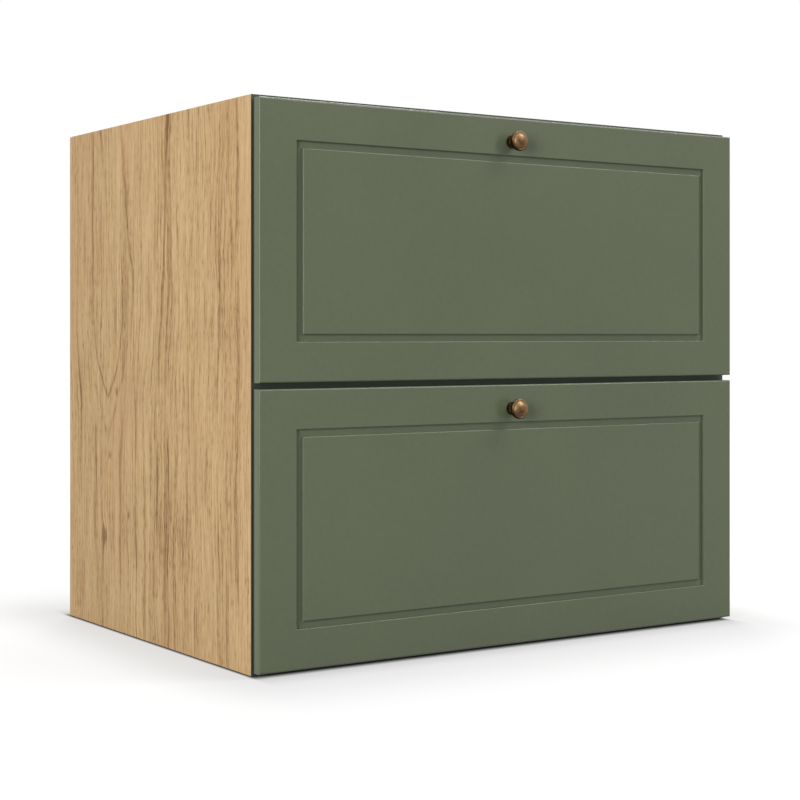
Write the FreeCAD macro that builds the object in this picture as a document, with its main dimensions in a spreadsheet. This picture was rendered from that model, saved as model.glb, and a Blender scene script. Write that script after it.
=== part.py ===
import FreeCAD, Part
import Sketcher
import os
import re

# Kitchen base cabinet with two deep drawers on ball-bearing slides.
# Millimetres, +Z up, +X to the right, and the drawers open towards -Y.
# The origin is on the floor, at the middle of the carcass.

# Driving dimensions in millimetres, one cell each
SIZES = {
    # Carcass boards
    "width": 800,
    "height": 720,
    "depth": 567,
    "board": 16,
    "band": 1,
    "rail_depth": 100,
    "back_thickness": 3,
    "back_inset": 1,
    # Holes for legs and worktop screws
    "leg_hole_diameter": 10,
    "leg_hole_depth": 12,
    "leg_side_distance": 80,
    "leg_edge_distance": 80,
    "worktop_hole_diameter": 5,
    "worktop_hole_offset": 250,
    "worktop_hole_edge": 50,
    # Dowels and cam fittings
    "dowel_diameter": 8,
    "dowel_length": 30,
    "dowel_seat": 10,
    "dowel_end_room": 1,
    "bottom_dowel_edge": 120,
    "rail_dowel_edge": 70,
    "cam_diameter": 15,
    "cam_skin": 3.5,
    "cam_distance": 24,
    "cam_slot_length": 9,
    "cam_slot_width": 1.6,
    "cam_slot_depth": 2,
    "bottom_cam_edge": 40,
    "rail_cam_edge": 30,
    "bolt_thread_diameter": 6,
    "bolt_thread_length": 11,
    "bolt_shank_diameter": 4,
    "bolt_head_diameter": 6,
    "bolt_head_length": 4,
    "bolt_bore_diameter": 8,
    # Nails of the back panel
    "nail_diameter": 1.6,
    "nail_length": 18,
    "nail_head_diameter": 4,
    "nail_head_height": 0.8,
    "nail_end": 60,
    "nail_near": 90,
    "nail_far": 270,
    # Clearances
    "fit_room": 0.1,
    "run_room": 0.3,
    # Drawer fronts
    "front_thickness": 16,
    "front_standoff": 2,
    "front_side_inset": 1,
    "top_reveal": 4.5,
    "bottom_reveal": 4,
    "front_gap": 7.5,
    "upper_front_extra": 2,
    "front_edge_radius": 2.5,
    "groove_side_margin": 54,
    "groove_end_margin": 51,
    "groove_width": 9.2,
    "groove_depth": 4,
    "groove_lip_radius": 1.3,
    "bumper_diameter": 9,
    "bumper_end": 30,
    # Knobs
    "knob_drop": 32.5,
    "knob_offset": 9,
    "knob_base_diameter": 18,
    "knob_neck_diameter": 10,
    "knob_head_diameter": 27,
    "knob_dome_diameter": 20.6,
    "knob_base_height": 2,
    "knob_cove_height": 3.5,
    "knob_cove_radius": 6,
    "knob_neck_length": 5,
    "knob_flare_height": 5,
    "knob_flare_radius": 13,
    "knob_rim_height": 3,
    "knob_rim_bevel": 1.3,
    "knob_ring_depth": 0.9,
    "knob_dome_rise": 3.7,
    "knob_screw_diameter": 4,
    "knob_screw_bite": 10,
    "knob_hole_end_room": 2,
    # Drawer boxes
    "box_rise": 26,
    "box_drop": 75,
    "box_tail": 7,
    "drawer_board": 16,
    "base_thickness": 6,
    "base_recess": 12,
    "slot_depth": 6,
    "slot_room": 0.4,
    # Screws
    "screw_diameter": 3.6,
    "screw_head_diameter": 7,
    "screw_head_height": 1.8,
    "slide_screw_length": 13,
    "box_screw_length": 45,
    "box_screw_edge": 42,
    "front_screw_bite": 10,
    "front_screw_offset": 280,
    "front_screw_edge": 60,
    "pan_head_diameter": 8,
    "pan_head_height": 2.4,
    # Ball-bearing slides
    "slide_thickness": 12.7,
    "slide_height": 45,
    "slide_setback": 3,
    "slide_rear_room": 61,
    "slide_rise": 100,
    "slide_screw_end": 37,
    "slide_steel": 1.2,
    "slide_lip": 1.2,
    "slide_bend": 2.6,
    "flange_reach": 9.5,
    "ball_diameter": 3.6,
    "cage_sheet": 0.6,
    "cage_margin": 30,
    "cage_end": 15,
}

# Sizes and places that follow from the driving dimensions
DERIVED = {
    "half_width": "width / 2",
    "inner_half": "width / 2 - board",
    "front_y": "-depth / 2",
    "panel_front": "-depth / 2 + band",
    "panel_rear": "depth / 2 - back_thickness",
    "panel_depth": "depth - band - back_thickness",
    "low_axis": "board / 2",
    "high_axis": "height - board / 2",
    "middle_axis": "bottom_reveal + lower_front_height + front_gap / 2",
    "middle_low": "middle_axis - board / 2",
    "cam_height": "board - cam_skin",
    "front_stack": "height - top_reveal - front_gap - bottom_reveal",
    "lower_front_height": "(front_stack - upper_front_extra) / 2",
    "upper_front_height": "(front_stack + upper_front_extra) / 2",
    "upper_front_low": "bottom_reveal + lower_front_height + front_gap",
    "drawer_rise": "lower_front_height + front_gap",
    "front_width": "width - 2 * front_side_inset",
    "front_back": "front_y - front_standoff",
    "slide_front": "front_y + slide_setback",
    "slide_length": "depth - back_thickness - slide_setback - slide_rear_room",
    "slide_centre": "box_low + slide_rise",
    "slide_half": "slide_height / 2",
    "inside_bend": "slide_bend - slide_steel",
    "ball_gap": "ball_diameter + 2 * run_room",
    "middle_half": "slide_half - slide_steel - ball_gap",
    "inner_rail_half": "middle_half - slide_steel - ball_gap",
    "outer_cage_web": "slide_steel + run_room",
    "middle_web": "outer_cage_web + cage_sheet + run_room",
    "inner_cage_web": "middle_web + slide_steel + run_room",
    "inner_flange": "inner_cage_web + cage_sheet + run_room",
    "inner_web": "slide_thickness - slide_steel",
    "outer_ball_across": "middle_web + slide_steel + run_room + ball_diameter / 2",
    "inner_ball_across": "inner_flange + ball_diameter / 2",
    "outer_ball_height": "middle_half + ball_gap / 2",
    "inner_ball_height": "inner_rail_half + ball_gap / 2",
    "cage_front": "slide_front + slide_length / 4 + cage_margin",
    "cage_length": "slide_length / 2 - 2 * cage_margin",
    "box_low": "bottom_reveal + box_rise",
    "box_height": "lower_front_height - box_rise - box_drop",
    "box_half": "inner_half - slide_thickness",
    "box_inner_half": "box_half - drawer_board",
    "box_depth": "front_standoff + slide_setback + slide_length + box_tail",
    "box_rear": "front_back + box_depth",
    "base_low": "box_low + base_recess",
    "slot_height": "base_thickness + fit_room",
    "knob_cove_top": "knob_base_height + knob_cove_height",
    "knob_neck_top": "knob_cove_top + knob_neck_length",
    "knob_rim_low": "knob_neck_top + knob_flare_height",
    "knob_rim_high": "knob_rim_low + knob_rim_height",
    "knob_rim_top": "knob_rim_high + knob_rim_bevel",
    "knob_ring_low": "knob_rim_top - knob_ring_depth",
    "knob_top": "knob_rim_top + knob_dome_rise",
    "knob_dome_height": "knob_dome_rise + knob_ring_depth",
    "knob_dome_radius": "knob_dome_diameter * knob_dome_diameter / (8 * knob_dome_height)"
                        " + knob_dome_height / 2",
    "knob_hole_radius": "knob_screw_diameter / 2 + fit_room",
    "knob_hole_depth": "knob_screw_bite + knob_hole_end_room",
}

NAILS_PER_SIDE = 5
SCREWS_PER_SLIDE = 3
BALLS_PER_ROW = 6

# Rotations that turn a shape's own +Z to each direction
TURNS = {
    "+x": FreeCAD.Rotation(FreeCAD.Vector(0, 1, 0), 90),
    "-x": FreeCAD.Rotation(FreeCAD.Vector(0, 1, 0), -90),
    "+y": FreeCAD.Rotation(FreeCAD.Vector(1, 0, 0), -90),
    "-y": FreeCAD.Rotation(FreeCAD.Vector(1, 0, 0), 90),
    "+z": FreeCAD.Rotation(),
    "-z": FreeCAD.Rotation(FreeCAD.Vector(1, 0, 0), 180),
}
OPPOSITE = {"+x": "-x", "-x": "+x", "+y": "-y", "-y": "+y", "+z": "-z", "-z": "+z"}
TOLERANCE = 1e-6

doc = FreeCAD.newDocument("KitchenBaseCabinet")
nodes = []


def make_sheet():
    """Keep the driving dimensions in the cells of a spreadsheet."""
    sheet = doc.addObject("Spreadsheet::Sheet", "Sizes")
    for row, (name, number) in enumerate(SIZES.items(), start=1):
        sheet.set(f"A{row}", name)
        sheet.set(f"B{row}", str(number))
        sheet.setAlias(f"B{row}", name)
    doc.recompute()


def formula(text):
    """Write a formula of plain names as an expression on the sheet's cells."""
    def cell(match):
        word = match.group(0)
        if word in DERIVED:
            return "(" + formula(DERIVED[word]) + ")"
        return "Sizes." + word
    return re.sub(r"[a-z_]+", cell, text)


def value(text):
    """Work a formula out as a plain number."""
    def number(match):
        return str(SIZES[match.group(1)])
    return FreeCAD.Units.Quantity(re.sub(r"Sizes\.([a-z_]+)", number, formula(text))).Value


# Helpers that add bound shapes to the document
def node(label, thing):
    """Name a finished sub-part, which is written to a file of that name."""
    thing.Label = label
    nodes.append(thing)
    return thing


def place(thing, point, direction="+z"):
    """Bind a shape's place to formulas, with its own +Z along a direction."""
    thing.Placement = FreeCAD.Placement(FreeCAD.Vector(), TURNS[direction])
    for axis, text in zip("xyz", point):
        thing.setExpression("Placement.Base." + axis, formula(text))


def block(name, x, y, z):
    """Add a box from a (low, size) pair of formulas along each axis."""
    box = doc.addObject("Part::Box", name)
    for side, span in zip(("Length", "Width", "Height"), (x, y, z)):
        box.setExpression(side, formula(span[1]))
    place(box, (x[0], y[0], z[0]))
    return box


def rod(name, point, direction, length, diameter):
    """Add a round rod that starts at a point."""
    made = doc.addObject("Part::Cylinder", name)
    made.setExpression("Radius", formula(f"({diameter}) / 2"))
    made.setExpression("Height", formula(length))
    place(made, point, direction)
    return made


def cone(name, point, direction, length, wide, narrow):
    """Add a cone frustum, wide at the point and narrow at its far end."""
    made = doc.addObject("Part::Cone", name)
    made.setExpression("Radius1", formula(f"({wide}) / 2"))
    made.setExpression("Radius2", formula(f"({narrow}) / 2"))
    made.setExpression("Height", formula(length))
    place(made, point, direction)
    return made


def joined(name, pieces):
    """Fuse touching shapes into one solid."""
    made = doc.addObject("Part::MultiFuse", name)
    made.Shapes = pieces
    made.Refine = True
    return made


def gathered(name, pieces):
    """Keep separate shapes together as one group."""
    made = doc.addObject("Part::Compound", name)
    made.Links = pieces
    return made


def drilled(name, base, tools):
    """Cut tools out of a shape."""
    made = doc.addObject("Part::Cut", name)
    made.Base = base
    made.Tool = gathered(name + "_tools", tools)
    return made


def mirrored(name, source):
    """Repeat a shape of the left side on the right side."""
    made = doc.addObject("Part::Mirroring", name)
    made.Source = source
    made.Normal = FreeCAD.Vector(1, 0, 0)
    return made


def both_sides(name, source):
    """Group a shape of the left side with its mirror image."""
    return gathered(name, [source, mirrored(name + "_right", source)])


def raised(name, source):
    """Repeat a shape of the lower drawer at the upper drawer."""
    made = gathered(name, [source])
    made.setExpression("Placement.Base.z", formula("drawer_rise"))
    return made


# Sketches whose corners are bound to formulas
def origin_plane(body, role):
    """Find one of a body's own origin planes."""
    for feature in body.Origin.OriginFeatures:
        if feature.Role == role:
            return feature
    raise LookupError(role)


def new_sketch(body, name, role):
    """Add a sketch on one of a body's origin planes."""
    sketch = body.newObject("Sketcher::SketchObject", name)
    sketch.AttachmentSupport = [(origin_plane(body, role), "")]
    sketch.MapMode = "FlatFace"
    return sketch


def pin_corner(sketch, line, end, corner):
    """Hold one end of a line or arc at a corner given by two formulas."""
    for kind, text, axis in (("DistanceX", corner[0], -2), ("DistanceY", corner[1], -1)):
        if text == "0":
            sketch.addConstraint(Sketcher.Constraint("PointOnObject", line, end, axis))
            continue
        held = sketch.addConstraint(Sketcher.Constraint(kind, -1, 1, line, end, value(text)))
        sketch.setExpression(f"Constraints[{held}]", formula(text))


def bent_line(start, end, radius, hollow):
    """Draw an arc between two points, hollow to its left or swelling to its right."""
    chord = end - start
    rise = radius - (radius ** 2 - (chord.Length / 2) ** 2) ** 0.5
    side = FreeCAD.Vector(-chord.y, chord.x, 0).normalize()
    middle = (start + end) / 2 + side * (rise if hollow else -rise)
    return Part.Arc(start, middle, end)


def closed_outline(sketch, corners, coves=None, domes=None):
    """Draw a closed outline, anticlockwise, with arcs in place of some of its lines.

    The arcs are given by the number of the corner where they start, with their radius:
    coves are hollow and domes swell outwards.
    """
    coves = coves or {}
    domes = domes or {}
    arcs = {**coves, **domes}
    first = sketch.GeometryCount
    count = len(corners)
    points = [FreeCAD.Vector(value(x), value(y), 0) for x, y in corners]
    for step, start in enumerate(points):
        end = points[(step + 1) % count]
        if step in arcs:
            sketch.addGeometry(bent_line(start, end, value(arcs[step]), step in coves))
        else:
            sketch.addGeometry(Part.LineSegment(start, end))
    # A sketch keeps every arc anticlockwise, so a cove's two ends change places
    ends = [(2, 1) if step in coves else (1, 2) for step in range(count)]
    for step, corner in enumerate(corners):
        following = (step + 1) % count
        meeting = (first + step, ends[step][1], first + following, ends[following][0])
        sketch.addConstraint(Sketcher.Constraint("Coincident", *meeting))
        pin_corner(sketch, first + step, ends[step][0], corner)
        if step in arcs:
            held = sketch.addConstraint(Sketcher.Constraint("Radius", first + step, value(arcs[step])))
            sketch.setExpression(f"Constraints[{held}]", formula(arcs[step]))


def rectangle(sketch, low_x, low_y, high_x, high_y):
    """Draw a rectangle between two corners."""
    closed_outline(sketch, [(low_x, low_y), (high_x, low_y), (high_x, high_y), (low_x, high_y)])


# Fasteners, each made again with room around it as its own hole
def flat_screw(name, point, direction, length, room="0"):
    """Add a countersunk screw with its head's top at a point."""
    wide = f"screw_head_diameter + 2 * {room}"
    narrow = f"screw_diameter + 2 * {room}"
    head = cone(name + "_head", point, direction, "screw_head_height", wide, narrow)
    shank = rod(name + "_shank", point, direction, f"{length} + {room}", narrow)
    return joined(name, [head, shank])


def pan_screw(name, point, direction, length, diameter):
    """Add a screw whose round head stands on the surface at a point."""
    head = rod(name + "_head", point, OPPOSITE[direction], "pan_head_height", "pan_head_diameter")
    shank = rod(name + "_shank", point, direction, length, diameter)
    return joined(name, [head, shank])


def nail(name, point, room="0"):
    """Add a nail, driven from behind, with its head flush."""
    wide = f"nail_head_diameter + 2 * {room}"
    narrow = f"nail_diameter + 2 * {room}"
    head = rod(name + "_head", point, "-y", f"nail_head_height + {room}", wide)
    shank = rod(name + "_shank", point, "-y", f"nail_length + {room}", narrow)
    return joined(name, [head, shank])


# Carcass joints of the left side: dowels, cam housings and their bolts
def left_dowels(room="0", end_room="0"):
    """Add the dowels between the left side and the boards that meet it."""
    rows = (
        ("front_y + bottom_dowel_edge", "low_axis"),
        ("panel_rear - bottom_dowel_edge", "low_axis"),
        ("front_y + rail_dowel_edge", "middle_axis"),
        ("front_y + rail_dowel_edge", "high_axis"),
        ("panel_rear - rail_dowel_edge", "high_axis"),
    )
    made = []
    for y, z in rows:
        start = (f"-inner_half - dowel_seat - {end_room}", y, z)
        length = f"dowel_length + 2 * {end_room}"
        made.append(rod("dowel", start, "+x", length, f"dowel_diameter + 2 * {room}"))
    return made


CAM_ROWS = (
    ("front_y + bottom_cam_edge", "low_axis", "0", "+z"),
    ("panel_rear - bottom_cam_edge", "low_axis", "0", "+z"),
    ("front_y + rail_cam_edge", "middle_axis", "middle_low", "+z"),
    ("front_y + rail_cam_edge", "high_axis", "height", "-z"),
    ("panel_rear - rail_cam_edge", "high_axis", "height", "-z"),
)


def left_cam_bores():
    """Add the tools for the round pockets that hold the cams."""
    made = []
    for y, _, face, direction in CAM_ROWS:
        at = ("-inner_half + cam_distance", y, face)
        made.append(rod("cam_bore", at, direction, "cam_height + fit_room", "cam_diameter + 2 * fit_room"))
    return made


def left_bolt_bores():
    """Add the tools for the end bores that lead the bolts to the cams."""
    made = []
    for y, axis, _, _ in CAM_ROWS:
        made.append(rod("bolt_bore", ("-inner_half", y, axis), "+x", "cam_distance", "bolt_bore_diameter"))
    return made


def left_thread_holes():
    """Add the tools for the holes that take the bolts' threads."""
    made = []
    for y, axis, _, _ in CAM_ROWS:
        length = "bolt_thread_length + fit_room"
        diameter = "bolt_thread_diameter + 2 * fit_room"
        made.append(rod("thread_hole", ("-inner_half", y, axis), "-x", length, diameter))
    return made


def left_cams():
    """Add the cam housings, each with a channel for its bolt and a cross slot."""
    made = []
    for y, axis, face, direction in CAM_ROWS:
        centre = "-inner_half + cam_distance"
        drum = rod("cam_drum", (centre, y, face), direction, "cam_height", "cam_diameter")
        reach = "cam_distance + bolt_head_length / 2 + run_room"
        channel = rod("cam_channel", ("-inner_half", y, axis), "+x", reach,
                      "bolt_head_diameter + 2 * run_room")
        slot_low = face if direction == "+z" else f"{face} - cam_slot_depth"
        deep = (slot_low, "cam_slot_depth")
        long_x = (f"{centre} - cam_slot_length / 2", "cam_slot_length")
        thin_x = (f"{centre} - cam_slot_width / 2", "cam_slot_width")
        long_y = (f"{y} - cam_slot_length / 2", "cam_slot_length")
        thin_y = (f"{y} - cam_slot_width / 2", "cam_slot_width")
        bars = [block("cam_slot", long_x, thin_y, deep), block("cam_slot", thin_x, long_y, deep)]
        made.append(drilled("cam", drum, [channel, joined("cam_cross", bars)]))
    return made


def left_bolts():
    """Add the bolts, screwed into the left side and caught by the cams."""
    made = []
    for y, axis, _, _ in CAM_ROWS:
        foot = ("-inner_half", y, axis)
        neck = ("-inner_half + cam_distance - bolt_head_length / 2", y, axis)
        thread = rod("bolt_thread", foot, "-x", "bolt_thread_length", "bolt_thread_diameter")
        shank = rod("bolt_shank", foot, "+x", "cam_distance", "bolt_shank_diameter")
        head = rod("bolt_head", neck, "+x", "bolt_head_length", "bolt_head_diameter")
        made.append(joined("bolt", [thread, shank, head]))
    return made


def left_nails(room="0"):
    """Add the nails of the back panel's left half."""
    pitch = f"(height - 2 * nail_end) / {NAILS_PER_SIDE - 1}"
    places = [("-half_width + board / 2", f"nail_end + {step} * {pitch}") for step in range(NAILS_PER_SIDE)]
    for x in ("-nail_near", "-nail_far"):
        places += [(x, "low_axis"), (x, "high_axis")]
    return [nail("nail", (x, "depth / 2", z), room) for x, z in places]


def make_carcass(slide_holes):
    """Add the boards of the carcass with their bands, fittings and nails."""
    nail_holes = gathered("nail_holes", left_nails("fit_room"))
    dowel_holes = gathered("dowel_holes", left_dowels("fit_room", "dowel_end_room"))
    cam_bores = gathered("cam_bores", left_cam_bores())
    bolt_bores = gathered("bolt_bores", left_bolt_bores())
    thread_holes = gathered("thread_holes", left_thread_holes())

    side = block("side_board", ("-half_width", "board"), ("panel_front", "panel_depth"), ("0", "height"))
    upper_slide_holes = raised("upper_slide_holes", slide_holes)
    side_holes = [nail_holes, dowel_holes, thread_holes, slide_holes, upper_slide_holes]
    left = node("side_panel_left", drilled("side_left", side, side_holes))
    node("side_panel_right", mirrored("side_right", left))

    panel_holes = []
    for tools in (nail_holes, dowel_holes, cam_bores, bolt_bores):
        panel_holes.append(both_sides(tools.Name + "_both", tools))
    across = ("-inner_half", "2 * inner_half")
    middle = ("middle_low", "board")
    top = ("height - board", "board")

    bottom = block("bottom_board", across, ("panel_front", "panel_depth"), ("0", "board"))
    leg_holes = []
    for y in ("front_y + leg_edge_distance", "depth / 2 - leg_edge_distance"):
        at = ("-half_width + leg_side_distance", y, "0")
        leg_holes.append(rod("leg_hole", at, "+z", "leg_hole_depth", "leg_hole_diameter"))
    legs = both_sides("leg_holes_both", gathered("leg_holes", leg_holes))
    node("bottom_panel", drilled("bottom", bottom, panel_holes + [legs]))

    front_rail_y = ("panel_front", "rail_depth - band")
    drawer_rail = block("drawer_rail_board", across, front_rail_y, middle)
    node("drawer_rail", drilled("drawer_rail_cut", drawer_rail, panel_holes))
    rails = (
        ("top_rail_front", front_rail_y, "front_y + worktop_hole_edge"),
        ("top_rail_rear", ("panel_rear - rail_depth", "rail_depth"), "panel_rear - worktop_hole_edge"),
    )
    for label, rail_y, hole_y in rails:
        rail = block(label + "_board", across, rail_y, top)
        at = ("-worktop_hole_offset", hole_y, "height - board")
        hole = rod(label + "_hole", at, "+z", "board", "worktop_hole_diameter")
        holes = both_sides(label + "_holes", hole)
        node(label, drilled(label + "_cut", rail, panel_holes + [holes]))

    back = block("back_board", ("-half_width + back_inset", "width - 2 * back_inset"),
                 ("panel_rear", "back_thickness"), ("back_inset", "height - 2 * back_inset"))
    node("back_panel", drilled("back", back, panel_holes[:1]))

    band_y = ("front_y", "band")
    side_band = block("side_band", ("-half_width", "board"), band_y, ("0", "height"))
    bands = [
        both_sides("side_bands", side_band),
        block("bottom_band", across, band_y, ("0", "board")),
        block("drawer_rail_band", across, band_y, middle),
        block("top_rail_band", across, band_y, top),
    ]
    node("carcass_edge_bands", gathered("bands", bands))
    node("back_panel_nails", both_sides("nails", gathered("nails_left", left_nails())))
    node("carcass_dowels", both_sides("dowels", gathered("dowels_left", left_dowels())))
    node("cam_housings", both_sides("cams", gathered("cams_left", left_cams())))
    node("cam_bolts", both_sides("bolts", gathered("bolts_left", left_bolts())))


# Ball-bearing slides, drawn on the left of the lower drawer
def across_slide(low, size):
    """Turn a span measured from the left side's inner face into a span along X."""
    return (f"-inner_half + {low}", size)


def slide_screw_spots():
    """List the places of a slide's screws along its length."""
    pitch = f"(slide_length - 2 * slide_screw_end) / {SCREWS_PER_SLIDE - 1}"
    return [f"slide_front + slide_screw_end + {step} * {pitch}" for step in range(SCREWS_PER_SLIDE)]


def slide_screws(face, direction, room="0"):
    """Add the screws that start at a face of the slide."""
    made = []
    for y in slide_screw_spots():
        point = (f"-inner_half + {face}", y, "slide_centre")
        made.append(flat_screw("slide_screw", point, direction, "slide_screw_length", room))
    return gathered("slide_screws", made)


def rolled_member(name, outline, left, low):
    """Add one steel member: a bent profile drawn out along the slide."""
    body = doc.addObject("PartDesign::Body", name + "_body")
    profile = new_sketch(body, name + "_profile", "XZ_Plane")
    closed_outline(profile, *outline)
    drawn = body.newObject("PartDesign::Pad", name + "_drawn")
    drawn.Profile = profile
    drawn.setExpression("Length", formula("slide_length"))
    body.Tip = drawn
    place(body, (f"-inner_half + {left}", "slide_front + slide_length", low))
    return body


def outer_outline():
    """Draw the outer member: a channel open to the drawer, its lips turned in."""
    reach = "flange_reach"
    tip = "flange_reach - slide_steel"
    hook = "slide_steel + slide_lip"
    high_hook = "slide_height - slide_steel - slide_lip"
    corners = [
        ("slide_bend", "0"),
        (reach, "0"),
        (reach, hook),
        (tip, hook),
        (tip, "slide_steel"),
        ("slide_bend", "slide_steel"),
        ("slide_steel", "slide_bend"),
        ("slide_steel", "slide_height - slide_bend"),
        ("slide_bend", "slide_height - slide_steel"),
        (tip, "slide_height - slide_steel"),
        (tip, high_hook),
        (reach, high_hook),
        (reach, "slide_height"),
        ("slide_bend", "slide_height"),
        ("0", "slide_height - slide_bend"),
        ("0", "slide_bend"),
    ]
    inside = {5: "inside_bend", 7: "inside_bend"}
    outside = {13: "slide_bend", 15: "slide_bend"}
    return corners, inside, outside


def middle_outline():
    """Draw the middle member: a channel open to the drawer, its lips turned out."""
    reach = "flange_reach - middle_web"
    tip = f"{reach} - slide_steel"
    low = "slide_lip"
    high = "slide_lip + 2 * middle_half"
    corners = [
        ("slide_bend", low),
        (tip, low),
        (tip, "0"),
        (reach, "0"),
        (reach, f"{low} + slide_steel"),
        ("slide_bend", f"{low} + slide_steel"),
        ("slide_steel", f"{low} + slide_bend"),
        ("slide_steel", f"{high} - slide_bend"),
        ("slide_bend", f"{high} - slide_steel"),
        (reach, f"{high} - slide_steel"),
        (reach, f"{high} + slide_lip"),
        (tip, f"{high} + slide_lip"),
        (tip, high),
        ("slide_bend", high),
        ("0", f"{high} - slide_bend"),
        ("0", f"{low} + slide_bend"),
    ]
    inside = {5: "inside_bend", 7: "inside_bend"}
    outside = {13: "slide_bend", 15: "slide_bend"}
    return corners, inside, outside


def inner_outline():
    """Draw the inner member: a plain channel open to the carcass."""
    wide = "slide_thickness - inner_flange"
    tall = "2 * inner_rail_half"
    corners = [
        ("0", "0"),
        (f"{wide} - slide_bend", "0"),
        (wide, "slide_bend"),
        (wide, f"{tall} - slide_bend"),
        (f"{wide} - slide_bend", tall),
        ("0", tall),
        ("0", f"{tall} - slide_steel"),
        (f"{wide} - slide_bend", f"{tall} - slide_steel"),
        (f"{wide} - slide_steel", f"{tall} - slide_bend"),
        (f"{wide} - slide_steel", "slide_bend"),
        (f"{wide} - slide_bend", "slide_steel"),
        ("0", "slide_steel"),
    ]
    inside = {7: "inside_bend", 9: "inside_bend"}
    outside = {1: "slide_bend", 3: "slide_bend"}
    return corners, inside, outside


def ball_cage(name, web, ball_across, ball_height):
    """Add a cage strip with two holed lips, and the balls that sit in them."""
    along = ("cage_front", "cage_length")
    reach = f"{ball_across} + ball_diameter / 2 + cage_sheet - {web}"
    low_lip = f"slide_centre - {ball_height} - cage_sheet / 2"
    high_lip = f"slide_centre + {ball_height} - cage_sheet / 2"
    strips = [block(name + "_web", across_slide(web, "cage_sheet"), along,
                    (low_lip, f"2 * {ball_height} + cage_sheet"))]
    holes = []
    balls = []
    pitch = f"(cage_length - 2 * cage_end) / {BALLS_PER_ROW - 1}"
    for lip, side in ((low_lip, "-"), (high_lip, "+")):
        strips.append(block(name + "_lip", across_slide(web, reach), along, (lip, "cage_sheet")))
        for step in range(BALLS_PER_ROW):
            x = f"-inner_half + {ball_across}"
            y = f"cage_front + cage_end + {step} * {pitch}"
            wide = "ball_diameter + 2 * fit_room"
            holes.append(rod(name + "_hole", (x, y, lip), "+z", "cage_sheet", wide))
            ball = doc.addObject("Part::Sphere", name + "_ball")
            ball.setExpression("Radius", formula("ball_diameter / 2"))
            place(ball, (x, y, f"slide_centre {side} {ball_height}"))
            balls.append(ball)
    cage = drilled(name + "_cage", joined(name + "_strip", strips), holes)
    return gathered(name, [cage] + balls)


def four_slides(part, source):
    """Name a piece of the lower left slide and repeat it at the other three."""
    node("lower_left_" + part, source)
    right = node("lower_right_" + part, mirrored("lower_right_" + part, source))
    node("upper_left_" + part, raised("upper_left_" + part, source))
    node("upper_right_" + part, raised("upper_right_" + part, right))


def make_slides():
    """Add the four slides, and return the holes that they need in the boards."""
    outer_holes = slide_screws("slide_steel", "-x", "fit_room")
    inner_holes = slide_screws("inner_web", "+x", "fit_room")

    outer = rolled_member("outer_rail", outer_outline(), "0", "slide_centre - slide_half")
    middle = rolled_member("middle_rail", middle_outline(), "middle_web",
                           "slide_centre - middle_half - slide_lip")
    inner = rolled_member("inner_rail", inner_outline(), "inner_flange", "slide_centre - inner_rail_half")
    four_slides("slide_outer", drilled("outer_rail_cut", outer, [outer_holes]))
    four_slides("slide_middle", middle)
    four_slides("slide_inner", drilled("inner_rail_cut", inner, [inner_holes]))
    four_slides("outer_ball_cage", ball_cage("outer_cage", "outer_cage_web",
                                             "outer_ball_across", "outer_ball_height"))
    four_slides("inner_ball_cage", ball_cage("inner_cage", "inner_cage_web",
                                             "inner_ball_across", "inner_ball_height"))

    outer_screws = both_sides("lower_outer_screws", slide_screws("slide_steel", "-x"))
    screws = gathered("outer_screws", [outer_screws, raised("upper_outer_screws", outer_screws)])
    node("carcass_slide_screws", screws)
    inner_screws = node("lower_slide_screws", both_sides("inner_screws", slide_screws("inner_web", "+x")))
    node("upper_slide_screws", raised("upper_inner_screws", inner_screws))
    return outer_holes, inner_holes


# Drawer boxes
def two_drawers(part, source):
    """Name a piece of the lower drawer and repeat it at the upper one."""
    node("lower_" + part, source)
    node("upper_" + part, raised("upper_" + part, source))


def left_box_screws(room="0"):
    """Add the screws through the left board of a box into its front and back."""
    made = []
    for y in ("front_back + drawer_board / 2", "box_rear - drawer_board / 2"):
        for z in ("box_low + box_screw_edge", "box_low + box_height - box_screw_edge"):
            made.append(flat_screw("box_screw", ("-box_half", y, z), "+x", "box_screw_length", room))
    return gathered("box_screws_left", made)


def front_screw_points():
    """List where the screws that hold a drawer front start, inside the box."""
    heights = ("box_low + front_screw_edge", "box_low + box_height - front_screw_edge")
    return [("-front_screw_offset", "front_back + drawer_board", z) for z in heights]


def left_front_screws():
    """Add the left pair of the screws that hold a drawer front."""
    made = []
    for point in front_screw_points():
        length = "drawer_board + front_screw_bite"
        made.append(pan_screw("front_screw", point, "-y", length, "screw_diameter"))
    return gathered("front_screws_left", made)


def left_front_screw_holes():
    """Add the tools for the holes of the left pair of front screws."""
    made = []
    for point in front_screw_points():
        length = "drawer_board + front_screw_bite + fit_room"
        made.append(rod("front_screw_hole", point, "-y", length, "screw_diameter + 2 * fit_room"))
    return gathered("front_screw_holes_left", made)


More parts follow.
